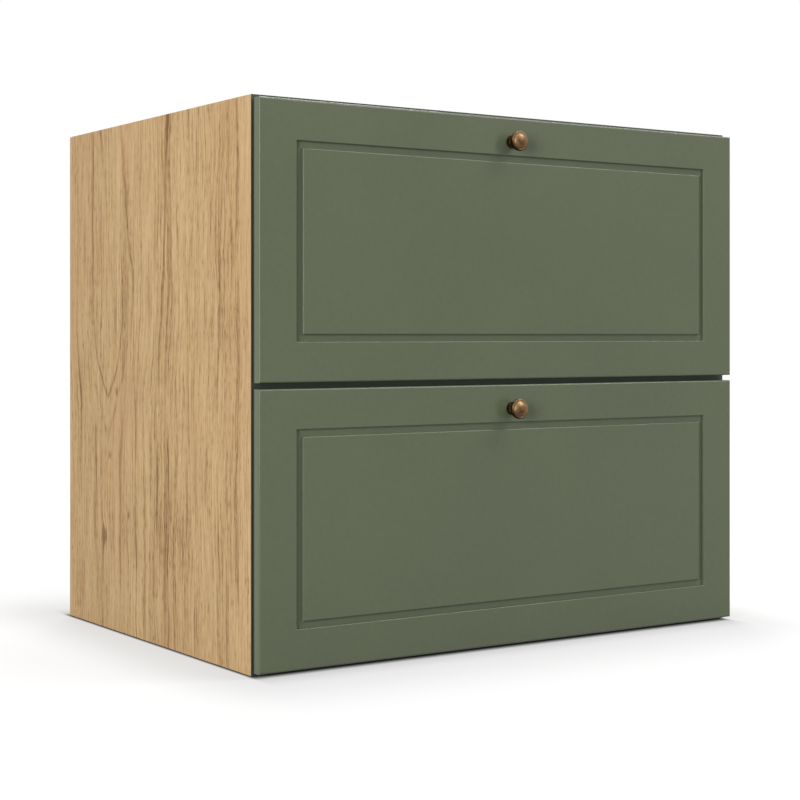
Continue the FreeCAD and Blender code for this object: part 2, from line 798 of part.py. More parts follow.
def make_boxes(slide_holes):
    """Add both drawer boxes, and return the holes for the front's screws."""
    tall = ("box_low", "box_height - band")
    box_holes = left_box_screws("fit_room")
    front_holes = both_sides("front_screw_holes", left_front_screw_holes())
    slot_z = ("base_low", "slot_height")
    slot_x = ("-box_inner_half - slot_depth", "2 * (box_inner_half + slot_depth)")

    side = block("box_side_board", ("-box_half", "drawer_board"), ("front_back", "box_depth"), tall)
    side_slot = block("box_side_slot", slot_x, ("front_back", "box_depth"), slot_z)
    left = drilled("box_side", side, [side_slot, box_holes, slide_holes])
    two_drawers("box_side_left", left)
    two_drawers("box_side_right", mirrored("box_side_right", left))

    inner_x = ("-box_inner_half", "2 * box_inner_half")
    end_holes = both_sides("box_holes_both", box_holes)
    front = block("box_front_board", inner_x, ("front_back", "drawer_board"), tall)
    front_slot = block("box_front_slot", slot_x,
                       ("front_back + drawer_board - slot_depth", "slot_depth"), slot_z)
    two_drawers("box_front", drilled("box_front", front, [front_slot, end_holes, front_holes]))
    back = block("box_back_board", inner_x, ("box_rear - drawer_board", "drawer_board"), tall)
    back_slot = block("box_back_slot", slot_x, ("box_rear - drawer_board", "slot_depth"), slot_z)
    two_drawers("box_back", drilled("box_back", back, [back_slot, end_holes]))

    top = ("box_low + box_height - band", "band")
    side_band = block("box_side_band", ("-box_half", "drawer_board"), ("front_back", "box_depth"), top)
    bands = [
        both_sides("box_side_bands", side_band),
        block("box_front_band", inner_x, ("front_back", "drawer_board"), top),
        block("box_back_band", inner_x, ("box_rear - drawer_board", "drawer_board"), top),
    ]
    two_drawers("box_edge_bands", gathered("box_bands", bands))

    base_in = "(slot_depth - slot_room)"
    base_x = (f"-box_inner_half - {base_in}", f"2 * (box_inner_half + {base_in})")
    base_y = (f"front_back + drawer_board - {base_in}", f"box_depth - 2 * (drawer_board - {base_in})")
    two_drawers("box_base", block("box_base", base_x, base_y, ("base_low", "base_thickness")))
    two_drawers("box_screws", both_sides("box_screws", left_box_screws()))
    two_drawers("front_screws", both_sides("front_screws", left_front_screws()))
    return front_holes


# Drawer fronts, knobs and bumpers
def routed_front(name, low, tall):
    """Add a front panel with rounded edges and a routed frame groove."""
    body = doc.addObject("PartDesign::Body", name + "_body")
    outline = new_sketch(body, name + "_outline", "XZ_Plane")
    rectangle(outline, "0", "0", "front_width", tall)
    pad = body.newObject("PartDesign::Pad", name + "_pad")
    pad.Profile = outline
    pad.setExpression("Length", formula("front_thickness"))
    doc.recompute()

    faces = [f"Face{number}" for number, face in enumerate(pad.Shape.Faces, start=1)
             if face.BoundBox.YLength < TOLERANCE]
    rounding = body.newObject("PartDesign::Fillet", name + "_rounding")
    rounding.Base = (pad, faces)
    rounding.setExpression("Radius", formula("front_edge_radius"))

    ring = new_sketch(body, name + "_ring", "XZ_Plane")
    ring.setExpression("AttachmentOffset.Base.z", formula("front_thickness"))
    for inset in ("0", "groove_width"):
        side = f"(groove_side_margin + {inset})"
        end = f"(groove_end_margin + {inset})"
        rectangle(ring, side, end, f"front_width - {side}", f"{tall} - {end}")
    groove = body.newObject("PartDesign::Pocket", name + "_groove")
    groove.Profile = ring
    groove.setExpression("Length", formula("groove_depth"))
    doc.recompute()
    if groove.Shape.Volume >= rounding.Shape.Volume:
        raise RuntimeError(name + ": the groove cuts nothing")

    face_y = -value("front_thickness")
    near_side = value("groove_side_margin") / 2
    far_side = value("front_width") - near_side
    lips = [f"Edge{number}" for number, edge in enumerate(groove.Shape.Edges, start=1)
            if edge.BoundBox.YMax < face_y + TOLERANCE and edge.BoundBox.XMin > near_side
            and edge.BoundBox.XMax < far_side]
    softening = body.newObject("PartDesign::Fillet", name + "_lips")
    softening.Base = (groove, lips)
    softening.setExpression("Radius", formula("groove_lip_radius"))
    body.Tip = softening
    place(body, ("-front_width / 2", "front_back", low))
    return body


def turned_knob(name, foot):
    """Add a knob turned about its own axis, with a blind hole in its foot."""
    body = doc.addObject("PartDesign::Body", name + "_body")
    profile = new_sketch(body, name + "_profile", "XZ_Plane")
    base = "knob_base_diameter / 2"
    neck = "knob_neck_diameter / 2"
    head = "knob_head_diameter / 2"
    dome = "knob_dome_diameter / 2"
    corners = [
        ("knob_hole_radius", "0"),
        (base, "0"),
        (base, "knob_base_height"),
        (neck, "knob_cove_top"),
        (neck, "knob_neck_top"),
        (head, "knob_rim_low"),
        (head, "knob_rim_high"),
        (f"{head} - knob_rim_bevel", "knob_rim_top"),
        (dome, "knob_ring_low"),
        ("0", "knob_top"),
        ("0", "knob_hole_depth"),
        ("knob_hole_radius", "knob_hole_depth"),
    ]
    coves = {2: "knob_cove_radius", 4: "knob_flare_radius"}
    closed_outline(profile, corners, coves, {8: "knob_dome_radius"})
    turning = body.newObject("PartDesign::Revolution", name + "_turning")
    turning.Profile = profile
    turning.ReferenceAxis = (profile, ["V_Axis"])
    turning.Angle = 360
    body.Tip = turning
    place(body, foot, "-y")
    return body


def make_front(name, low, tall, screw_holes):
    """Add one drawer's front with its knob, knob screw and bumpers."""
    high = f"{low} + {tall}"
    knob_z = f"{high} - knob_drop"
    behind = ("-knob_offset", "front_back", knob_z)

    hole = rod(name + "_knob_hole", behind, "-y", "front_thickness", "knob_screw_diameter + 2 * fit_room")
    front = routed_front(name + "_front", low, tall)
    node(name + "_front", drilled(name + "_front_cut", front, [hole, screw_holes]))

    foot = ("-knob_offset", "front_back - front_thickness", knob_z)
    node(name + "_knob", turned_knob(name + "_knob", foot))
    length = "front_thickness + knob_screw_bite"
    node(name + "_knob_screw", pan_screw(name + "_screw", behind, "-y", length, "knob_screw_diameter"))

    pads = []
    for z in (f"{low} + bumper_end", f"{high} - bumper_end"):
        at = ("-half_width + board / 2", "front_back", z)
        pads.append(rod(name + "_bumper", at, "+y", "front_standoff", "bumper_diameter"))
    node(name + "_bumpers", both_sides(name + "_pads", gathered(name + "_pads_left", pads)))


def check_document():
    """Stop if any object failed or any sub-part has no valid shape."""
    for thing in doc.Objects:
        if "Invalid" in thing.State or "Error" in thing.State:
            raise RuntimeError(f"{thing.Name} failed: {thing.State}")
    for thing in nodes:
        if thing.Shape.isNull() or not thing.Shape.isValid() or not thing.Shape.Solids:
            raise RuntimeError(f"{thing.Label} has no valid solid")


def write_parts():
    """Write each sub-part to its own file."""
    os.makedirs("parts", exist_ok=True)
    for thing in nodes:
        thing.Shape.exportStep(f"parts/{thing.Label}.step")
        print(thing.Label, len(thing.Shape.Solids), round(thing.Shape.Volume))


make_sheet()
carcass_slide_holes, drawer_slide_holes = make_slides()
make_carcass(carcass_slide_holes)
lower_front_holes = make_boxes(drawer_slide_holes)
upper_front_holes = raised("upper_front_screw_holes", lower_front_holes)
make_front("lower", "bottom_reveal", "lower_front_height", lower_front_holes)
make_front("upper", "upper_front_low", "upper_front_height", upper_front_holes)
doc.recompute()
check_document()
write_parts()
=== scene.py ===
import math

import bpy
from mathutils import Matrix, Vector


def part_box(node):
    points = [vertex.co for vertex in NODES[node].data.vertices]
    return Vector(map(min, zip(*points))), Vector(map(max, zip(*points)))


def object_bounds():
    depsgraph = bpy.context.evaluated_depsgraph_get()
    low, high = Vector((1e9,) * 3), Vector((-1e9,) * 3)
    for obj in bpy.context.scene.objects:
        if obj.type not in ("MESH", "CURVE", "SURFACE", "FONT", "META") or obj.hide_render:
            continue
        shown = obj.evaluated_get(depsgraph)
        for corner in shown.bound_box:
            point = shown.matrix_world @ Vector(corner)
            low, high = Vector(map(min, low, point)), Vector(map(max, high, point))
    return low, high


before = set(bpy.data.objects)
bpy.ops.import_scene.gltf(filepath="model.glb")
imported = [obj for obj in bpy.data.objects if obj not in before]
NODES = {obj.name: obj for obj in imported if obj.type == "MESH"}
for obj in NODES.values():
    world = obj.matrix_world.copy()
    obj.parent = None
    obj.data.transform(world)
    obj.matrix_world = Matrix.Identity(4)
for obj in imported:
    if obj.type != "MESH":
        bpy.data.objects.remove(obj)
CAD_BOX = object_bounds()

MILLIMETRE = 0.001
WHITE = (1.0, 1.0, 1.0, 1.0)

# Camera, worked out from the cabinet's edges in an image of 800 by 800 pixels
IMAGE_SIDE = 800
FOCAL_PIXELS = 1729.477
HORIZON_ROW = 335.111
CAMERA_PLACE = (-1.434552, -2.163537, 0.421761)
CAMERA_TURN = math.radians(33.738)
SENSOR = 36.0

# Light, at a level where a colour renders about as it is written
AMBIENT = 0.20
LAMPS = (
    # name, place, point it faces, width, height, watts
    ("left_softbox", (-4.3, -2.55, 1.1), (-0.1, -0.25, 0.36), 1.8, 2.1, 170.0),
    ("right_softbox", (1.9, -2.7, 2.1), (-0.1, -0.25, 0.36), 1.2, 1.2, 24.0),
    ("strip_light", (1.95, -1.3, 2.9), (1.95, -0.3, 0.36), 2.1, 0.6, 50.0),
    ("top_softbox", (-0.7, -0.1, 3.6), (-0.2, 0.0, 0.0), 3.0, 3.0, 38.0),
    ("rear_softbox", (1.3, 3.2, 3.0), (0.0, 0.2, 0.36), 2.4, 2.0, 100.0),
)

# Floor, which lies a little below the cabinet's foot
FLOOR_SIDE = 40.0
FLOOR_DROP = 1.2 * MILLIMETRE
FLOOR_ALBEDO = 0.25
# The floor's glow, and so its painted shadow, starts a little behind the fronts, which stop short of the
# floor, so that a painted dark line shows under them
FRONT_TUCK = 19 * MILLIMETRE
# Glow seen by the eye, low near the cabinet and rising outwards: painted shadow round its foot
FLOOR_GLOWS = (
    # reach beyond the cabinet's sides, reach beyond its front and rear, level added there
    (0.006, 0.024, 0.42),
    (0.006, 0.072, 0.17),
    (0.15, 0.26, 0.18),
    (3.0, 3.0, 0.20),
)

# A face looks along an axis when its normal has more than this share of it
FACING_SHARE = 0.5
# Places of the mix node's colour sockets, among those for its other kinds of data
MIX_INPUTS = (0, 6, 7)
MIX_OUTPUT = 2


def srgb(red, green, blue):
    """Turn a colour as it shows on a screen, 0 to 255, into a linear one."""
    def linear(level):
        share = level / 255
        return share / 12.92 if share <= 0.04045 else ((share + 0.055) / 1.055) ** 2.4
    return (linear(red), linear(green), linear(blue), 1.0)


class Finish:
    """A node material in the making, with a method for each kind of step."""

    def __init__(self, name):
        self.material = bpy.data.materials.new(name)
        self.material.use_nodes = True
        self.tree = self.material.node_tree
        self.tree.nodes.clear()
        output = self.add("OutputMaterial")
        self.shader = self.add("BsdfPrincipled")
        self.tree.links.new(self.shader.outputs["BSDF"], output.inputs["Surface"])
        coordinates = self.add("TexCoord")
        self.place = coordinates.outputs["Object"]
        self.normal = coordinates.outputs["Normal"]
        self.x, self.y, self.z = self.split(self.place)

    def feed(self, socket, value):
        """Link a socket to another, or set its own value."""
        if isinstance(value, bpy.types.NodeSocket):
            self.tree.links.new(value, socket)
        else:
            socket.default_value = value

    def add(self, kind, inputs=None, **settings):
        """Add a node with its settings and inputs."""
        node = self.tree.nodes.new("ShaderNode" + kind)
        for name, value in settings.items():
            setattr(node, name, value)
        for name, value in (inputs or {}).items():
            self.feed(node.inputs[name], value)
        return node

    def set(self, **sockets):
        """Set or link the shader's sockets, named with _ for a space."""
        for name, value in sockets.items():
            self.feed(self.shader.inputs[name.replace("_", " ")], value)

    def math(self, operation, *values):
        """Add a step of arithmetic and return its result."""
        node = self.add("Math", operation=operation)
        for socket, value in zip(node.inputs, values):
            self.feed(socket, value)
        return node.outputs["Value"]

    def plus(self, *values):
        """Add up any number of values."""
        total = values[0]
        for value in values[1:]:
            total = self.math("ADD", total, value)
        return total

    def length(self, *parts):
        """Return the length of a line from its parts along square axes."""
        squares = [self.math("MULTIPLY", part, part) for part in parts]
        return self.math("SQRT", self.plus(*squares))

    def sway(self, value, size):
        """Turn a noise value into a swing of a given size about zero."""
        return self.math("MULTIPLY_ADD", value, 2 * size, -size)

    def split(self, vector):
        """Return the three parts of a vector."""
        return list(self.add("SeparateXYZ", {0: vector}).outputs)

    def join(self, x, y, z):
        """Make a vector of three parts."""
        return self.add("CombineXYZ", {0: x, 1: y, 2: z}).outputs[0]

    def noise(self, vector, scale, detail=2.0, roughness=0.5):
        """Add cloudy noise in space."""
        inputs = {"Vector": vector, "Scale": scale, "Detail": detail, "Roughness": roughness}
        return self.add("TexNoise", inputs).outputs["Fac"]

    def streaks(self, across, along, fine, long, seed=0.0, detail=2.0):
        """Add noise drawn out along one direction, with so many swings a metre each way."""
        vector = self.join(self.math("MULTIPLY", across, fine), self.math("MULTIPLY", along, long), seed)
        return self.noise(vector, scale=1.0, detail=detail)

    def bands(self, value, swings, seed, detail, roughness=0.6):
        """Add noise along a single value, with so many swings a metre."""
        along = self.math("MULTIPLY_ADD", value, swings, seed)
        inputs = {"W": along, "Scale": 1.0, "Detail": detail, "Roughness": roughness}
        return self.add("TexNoise", inputs, noise_dimensions="1D").outputs["Fac"]

    def grade(self, value, low, high, to_low=0.0, to_high=1.0):
        """Carry a value smoothly from one range to another, and hold it at the ends."""
        inputs = {"Value": value, "From Min": low, "From Max": high, "To Min": to_low, "To Max": to_high}
        return self.add("MapRange", inputs, interpolation_type="SMOOTHSTEP").outputs["Result"]

    def near(self, value, centre, reach):
        """Return 1 at a centre, falling smoothly to 0 at its reach to either side."""
        away = self.math("ABSOLUTE", self.math("SUBTRACT", value, centre))
        return self.grade(away, 0.0, reach, 1.0, 0.0)

    def faces(self, axis):
        """Return 1 on the faces that look along an axis, either way."""
        lean = self.split(self.normal)["xyz".index(axis)]
        return self.math("GREATER_THAN", self.math("ABSOLUTE", lean), FACING_SHARE)

    def mix(self, share, first, second):
        """Mix two colours."""
        node = self.add("Mix", data_type="RGBA")
        for number, value in zip(MIX_INPUTS, (share, first, second)):
            self.feed(node.inputs[number], value)
        return node.outputs[MIX_OUTPUT]

    def ramp(self, value, stops):
        """Colour a value by a list of (position, colour) stops."""
        node = self.add("ValToRGB", {"Fac": value})
        elements = node.color_ramp.elements
        while len(elements) < len(stops):
            elements.new(1.0)
        for element, (position, colour) in zip(elements, stops):
            element.position = position
            element.color = colour
        return node.outputs["Color"]

    def bump(self, height, distance):
        """Raise the surface by a height of up to a distance in metres."""
        return self.add("Bump", {"Height": height, "Distance": distance, "Strength": 1.0}).outputs["Normal"]


# Chipboard shows where a board has neither decor nor band
CHIPBOARD_STOPS = (
    (0.2, srgb(116, 86, 56)),
    (0.5, srgb(172, 138, 98)),
    (0.8, srgb(206, 178, 138)),
)


def chipboard(finish):
    """Colour of pressed wood chips."""
    chips = finish.noise(finish.place, scale=420.0, detail=3.0, roughness=0.7)
    flakes = finish.add("TexVoronoi", {"Vector": finish.place, "Scale": 330.0}).outputs["Color"]
    flake = finish.split(flakes)[0]
    tone = finish.math("MULTIPLY_ADD", flake, 0.5, finish.math("MULTIPLY", chips, 0.5))
    return finish.ramp(tone, CHIPBOARD_STOPS)


# Oak decor: long wavy grain, with a few growth rings that close to a point where the cut leaves the heart
OAK_STOPS = (
    (0.00, srgb(131, 97, 63)),
    (0.25, srgb(170, 134, 92)),
    (0.50, srgb(197, 163, 117)),
    (0.75, srgb(209, 177, 130)),
    (1.00, srgb(220, 189, 142)),
)
OAK_BLUSH = srgb(206, 166, 123)
OAK_BLUSH_SHARE = 0.4

# How much each part of the grain sways or darkens the wood's tone, which runs from 0, dark, to 1, pale
OAK_TONE = 0.64
BROAD_BANDS = 0.28
CLOUDS = 0.20
STREAKS = 0.68
FIBRES = 0.48
WIDE_LINES = 0.32
THIN_LINES = 0.18
PORES = 0.30

# How far the grain sways sideways in its long bends, its short bends and its wobble
LONG_BEND = 14 * MILLIMETRE
SHORT_BEND = 8 * MILLIMETRE
WOBBLE = 2 * MILLIMETRE

# Depth of the heart behind the face at the arches' foot and head
FOOT_DEPTH = 80 * MILLIMETRE
HEAD_DEPTH = 8 * MILLIMETRE

# The grain leans out where the heart comes nearer the face, less with distance from it
LEAN = 3.0
LEAN_REACH = 250 * MILLIMETRE

# An arch is full this far below its head, and gone this far above it
ARCH_FULL = 100 * MILLIMETRE
ARCH_GONE = 60 * MILLIMETRE

# A vein fades over this much to either side of its ends
VEIN_FADE = 40 * MILLIMETRE

# A knot pushes the grain aside and has a dark core, with a reach across and along in shares of its size
KNOT_PUSH_REACH = (1.6, 3.0)
KNOT_PUSH = 0.9
KNOT_CORE_REACH = (1.2, 1.4)
KNOT_DARKNESS = 80.0


class OakCut:
    """How a board was cut from the log, in metres across and along the board.

    The seed sets its noise apart from that of other boards.
    The heart lies at one place across, and the rings about it close between the arches' foot and head.
    An arch has a distance from the heart, a width and a strength.
    A vein has a foot and a head, each across and along, a width and a strength.
    A knot has a place across, a place along and a size.
    """

    def __init__(self, seed, heart, arch_foot, arch_head, arches=(), veins=(), knots=()):
        self.seed = seed
        self.heart = heart
        self.arch_foot = arch_foot
        self.arch_head = arch_head
        self.arches = arches
        self.veins = veins
        self.knots = knots


LEFT_CUT = OakCut(
    seed=2.0,
    heart=0.143,
    arch_foot=0.24,
    arch_head=0.47,
    arches=((0.054, 0.004, 0.42), (0.076, 0.004, 0.20)),
    veins=(
        ((-0.023, 0.34), (-0.055, 0.76), 0.0055, 0.40),
        ((0.062, 0.50), (0.106, 0.76), 0.0060, 0.40),
        ((0.046, 0.24), (0.064, 0.54), 0.0050, 0.36),
        ((0.030, 0.42), (0.026, 0.54), 0.0045, 0.26),
        ((0.195, 0.44), (0.196, 0.76), 0.0045, 0.30),
        ((-0.017, 0.16), (-0.017, 0.26), 0.0055, 0.48),
        ((-0.193, 0.36), (-0.208, 0.62), 0.0045, 0.32),
        ((0.179, 0.03), (0.187, 0.28), 0.0050, 0.28),
        ((0.104, 0.03), (0.097, 0.30), 0.0045, 0.30),
    ),
    knots=(
        (0.156, 0.132, 0.012),
        (0.074, 0.168, 0.006),
        (0.136, 0.249, 0.007),
        (0.114, 0.341, 0.007),
    ),
)
RIGHT_CUT = OakCut(
    seed=21.0,
    heart=-0.06,
    arch_foot=0.26,
    arch_head=0.56,
    arches=((0.035, 0.005, 0.3), (0.068, 0.006, 0.2)),
    veins=(((0.12, 0.10), (0.09, 0.66), 0.006, 0.4),),
    knots=((-0.03, 0.16, 0.011),),
)
BOTTOM_CUT = OakCut(seed=34.0, heart=0.03, arch_foot=-0.25, arch_head=0.10, arches=((0.045, 0.005, 0.3),))
RAIL_CUT = OakCut(seed=47.0, heart=-0.10, arch_foot=-0.25, arch_head=0.30)


def knot_patch(finish, knot, reach, across, along):
    """Return 1 at the middle of a knot, falling to 0 at its reach across and along."""
    place, height, size = knot
    sideways = finish.near(across, place, reach[0] * size)
    upright = finish.near(along, height, reach[1] * size)
    return finish.math("MULTIPLY", sideways, upright)


def oak_grain(finish, cut, across, along):
    """Return each spot's wavy place across the board, across the grain, and out from the log's heart."""
    slow = finish.streaks(across, along, fine=4.0, long=1.8, seed=cut.seed)
    quick = finish.streaks(across, along, fine=18.0, long=7.0, seed=cut.seed + 3.0)
    wobble = finish.streaks(across, along, fine=55.0, long=26.0, seed=cut.seed + 4.0)
    wavy = finish.plus(across, finish.sway(quick, SHORT_BEND), finish.sway(wobble, WOBBLE))
    bent = finish.plus(wavy, -cut.heart, finish.sway(slow, LONG_BEND))
    depth = finish.grade(along, cut.arch_foot, cut.arch_head, FOOT_DEPTH, HEAD_DEPTH)
    beside = finish.math("ABSOLUTE", finish.math("SUBTRACT", wavy, cut.heart))
    squared = finish.plus(finish.math("MULTIPLY", depth, depth), finish.math("MULTIPLY", beside, beside),
                          finish.math("MULTIPLY", depth, beside))
    ring = finish.math("SQRT", squared)
    lean = finish.grade(finish.math("ABSOLUTE", bent), 0.0, LEAN_REACH, LEAN, 0.0)
    grain = finish.math("MULTIPLY_ADD", finish.math("MULTIPLY", lean, depth), bent, bent)
    for knot in cut.knots:
        size = knot[2]
        patch = knot_patch(finish, knot, KNOT_PUSH_REACH, across, along)
        grain = finish.math("MULTIPLY_ADD", patch, KNOT_PUSH * size, grain)
    return wavy, grain, ring


def oak_lines(finish, grain, along, swings, width, seed):
    """Return 1 on dark lines, unevenly spaced across the grain, that come and go along it."""
    middle = 0.5
    away = finish.math("SUBTRACT", finish.bands(grain, swings, seed, detail=1.0), middle)
    line = finish.grade(finish.math("ABSOLUTE", away), 0.0, width, 1.0, 0.0)
    stretch = finish.streaks(grain, along, fine=0.6 * swings, long=0.1 * swings, seed=seed + 6.0)
    return finish.math("MULTIPLY", line, finish.grade(stretch, 0.40, 0.62))


def oak_vein(finish, foot, head, width, wavy, along):
    """Return 1 along the middle of a vein, which fades at its foot and head."""
    slope = (head[0] - foot[0]) / (head[1] - foot[1])
    upright = finish.math("MULTIPLY_ADD", along, -slope, wavy)
    line = finish.near(upright, foot[0] - slope * foot[1], width)
    from_foot = finish.grade(along, foot[1] - VEIN_FADE, foot[1] + VEIN_FADE)
    to_head = finish.grade(along, head[1] + VEIN_FADE, head[1] - VEIN_FADE)
    return finish.math("MULTIPLY", finish.math("MULTIPLY", line, from_foot), to_head)


def oak_marks(finish, cut, wavy, ring, across, along, ragged):
    """Return how dark the long veins, the closed rings and the knots make each spot."""
    total = 0.0
    for foot, head, width, strength in cut.veins:
        vein = oak_vein(finish, foot, head, width, wavy, along)
        total = finish.math("MULTIPLY_ADD", vein, strength, total)
    for place, width, strength in cut.arches:
        below = finish.grade(along, cut.arch_head + ARCH_GONE, cut.arch_head - ARCH_FULL)
        arch = finish.math("MULTIPLY", finish.near(ring, place, width), below)
        total = finish.math("MULTIPLY_ADD", arch, strength, total)
    total = finish.math("MULTIPLY", total, ragged)
    for knot in cut.knots:
        size = knot[2]
        patch = knot_patch(finish, knot, KNOT_CORE_REACH, across, along)
        total = finish.math("MULTIPLY_ADD", patch, KNOT_DARKNESS * size, total)
    return total


def oak(name, cut, across, along, face):
    """Oak decor on a board's two faces, with bare chipboard on its edges and in its holes."""
    finish = Finish(name)
    axes = {"x": finish.x, "y": finish.y, "z": finish.z}
    across = axes[across]
    along = axes[along]
    wavy, grain, ring = oak_grain(finish, cut, across, along)
    broad = finish.bands(grain, swings=13.0, seed=cut.seed, detail=2.0)
    cloud = finish.streaks(across, along, fine=7.0, long=1.8, seed=cut.seed + 2.0)
    streak = finish.streaks(grain, along, fine=210.0, long=10.0, seed=cut.seed + 5.0, detail=3.0)
    fibre = finish.streaks(grain, along, fine=560.0, long=65.0, seed=cut.seed + 7.0)
    tone = finish.plus(OAK_TONE, finish.sway(broad, BROAD_BANDS), finish.sway(cloud, CLOUDS),
                       finish.sway(streak, STREAKS), finish.sway(fibre, FIBRES))
    wide = oak_lines(finish, grain, along, swings=36.0, width=0.05, seed=cut.seed + 9.0)
    thin = oak_lines(finish, grain, along, swings=110.0, width=0.06, seed=cut.seed + 19.0)
    pits = finish.streaks(grain, along, fine=420.0, long=65.0, seed=cut.seed + 11.0)
    pore = finish.grade(pits, 0.58, 0.72)
    for lines, darkness in ((wide, WIDE_LINES), (thin, THIN_LINES), (pore, PORES)):
        tone = finish.math("MULTIPLY_ADD", lines, -darkness, tone)
    ragged = finish.grade(streak, 0.25, 0.55, 0.35, 1.0)
    tone = finish.math("SUBTRACT", tone, oak_marks(finish, cut, wavy, ring, across, along, ragged))
    patches = finish.streaks(across, along, fine=9.0, long=2.4, seed=cut.seed + 13.0)
    blush = finish.grade(patches, 0.45, 0.75, 0.0, OAK_BLUSH_SHARE)
    wood = finish.mix(blush, finish.ramp(tone, OAK_STOPS), OAK_BLUSH)
    finish.set(
        Base_Color=finish.mix(finish.faces(face), chipboard(finish), wood),
        Roughness=finish.grade(tone, 0.2, 0.8, 0.62, 0.54),
        Normal=finish.bump(finish.math("SUBTRACT", tone, pore), 0.06 * MILLIMETRE),
        Specular_IOR_Level=0.15,
    )
    return finish.material


# Painted and coated boards

# Painted shade: a front's rear edge and back turn dark olive between these distances from its rear face
REAR_SHADE_START = 4.6 * MILLIMETRE
REAR_SHADE_FULL = 3.8 * MILLIMETRE
HARDBOARD_STOPS = (
    (0.1, srgb(118, 84, 52)),
    (0.5, srgb(146, 108, 70)),
    (0.9, srgb(170, 132, 90)),
)


def green_paint():
    """Matt olive lacquer with a fine sprayed texture, and painted shade, a dark olive, on its rear edge and
    back.
    """
    finish = Finish("olive_lacquer")
    cloud = finish.noise(finish.place, scale=5.0)
    spray = finish.noise(finish.place, scale=900.0)
    orange_peel = finish.noise(finish.place, scale=260.0, detail=1.0)
    mottle = finish.noise(finish.place, scale=130.0)
    tone = finish.plus(0.5, finish.sway(cloud, 0.35), finish.sway(mottle, 0.3), finish.sway(spray, 0.15))
    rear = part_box("lower_front")[1].y
    # Painted shade: dark olive near the rear face, standing in for the shade in the gap behind the fronts
    rear_shade = finish.grade(finish.y, rear - REAR_SHADE_START, rear - REAR_SHADE_FULL)
    olive = finish.ramp(tone, [(0.2, srgb(96, 105, 82)), (0.8, srgb(102, 111, 87))])
    dark = finish.ramp(tone, [(0.2, srgb(42, 48, 34)), (0.8, srgb(48, 54, 40))])
    finish.set(
        Base_Color=finish.mix(rear_shade, olive, dark),
        Roughness=finish.grade(cloud, 0.3, 0.7, 0.22, 0.26),
        Normal=finish.bump(finish.math("MULTIPLY_ADD", spray, 0.3, orange_peel), 0.035 * MILLIMETRE),
        Specular_IOR_Level=0.25,
    )
    return finish.material


def dark_band():
    """Dark olive edge band with a fine lengthwise embossing."""
    finish = Finish("dark_edge_band")
    grain = finish.streaks(finish.x, finish.z, fine=600.0, long=30.0)
    speck = finish.noise(finish.place, scale=1400.0, detail=1.0)
    tone = finish.plus(0.5, finish.sway(grain, 0.4), finish.sway(speck, 0.2))
    finish.set(
        Base_Color=finish.ramp(tone, [(0.1, srgb(45, 51, 38)), (0.9, srgb(59, 66, 50))]),
        Roughness=finish.grade(grain, 0.3, 0.7, 0.5, 0.6),
        Normal=finish.bump(grain, 0.03 * MILLIMETRE),
    )
    return finish.material


def white_melamine(name, face):
    """White melamine with a pearl-like emboss, and chipboard on its bare edges."""
    finish = Finish(name)
    cloud = finish.noise(finish.place, scale=9.0, detail=3.0)
    pearl = finish.noise(finish.place, scale=1100.0, roughness=0.6)
    tone = finish.plus(0.5, finish.sway(cloud, 0.3), finish.sway(pearl, 0.3))
    white = finish.ramp(tone, [(0.1, srgb(221, 220, 214)), (0.9, srgb(234, 233, 229))])
    finish.set(
        Base_Color=finish.mix(finish.faces(face), chipboard(finish), white),
        Roughness=finish.grade(pearl, 0.3, 0.7, 0.40, 0.52),
        Normal=finish.bump(pearl, 0.03 * MILLIMETRE),
    )
    return finish.material


def hardboard():
    """Brown fibreboard behind, lacquered pale on the inside."""
    finish = Finish("hardboard")
    felt = finish.noise(finish.place, scale=160.0, detail=4.0, roughness=0.65)
    fleck = finish.noise(finish.place, scale=700.0)
    tone = finish.plus(0.5, finish.sway(felt, 0.5), finish.sway(fleck, 0.25))
    brown = finish.ramp(tone, HARDBOARD_STOPS)
    pale = finish.ramp(tone, [(0.1, srgb(206, 203, 194)), (0.9, srgb(220, 217, 209))])
    inside = finish.math("LESS_THAN", finish.split(finish.normal)[1], -FACING_SHARE)
    finish.set(
        Base_Color=finish.mix(inside, brown, pale),
        Roughness=finish.grade(felt, 0.3, 0.7, 0.55, 0.75),
        Normal=finish.bump(felt, 0.08 * MILLIMETRE),
    )
    return finish.material


# Metals

# Marks on a knob's head, wear and painted light: how far back from its crown they go, and their rings out
# from the knob's axis
HEAD_MARKS_FULL = 5 * MILLIMETRE
HEAD_MARKS_GONE = 8 * MILLIMETRE
CROWN_MIDDLE = 3 * MILLIMETRE
CROWN_RING = 9 * MILLIMETRE
# Painted shade: the rim darkens between these rings, standing in for the dark reflections on its edge
RIM_SHADE_INNER = 10.5 * MILLIMETRE
RIM_SHADE_OUTER = 13.4 * MILLIMETRE
# Painted light: the knob is lighter toward its upper part and a little to the right, and darker toward the
# lower left
PAINTED_LIGHT_LOW = -12 * MILLIMETRE
PAINTED_LIGHT_HIGH = 10 * MILLIMETRE
PAINTED_LIGHT_LEAN = 0.3
BRASS_STOPS = (
    (0.0, srgb(36, 24, 14)),
    (0.45, srgb(114, 89, 61)),
    (0.95, srgb(158, 134, 102)),
)


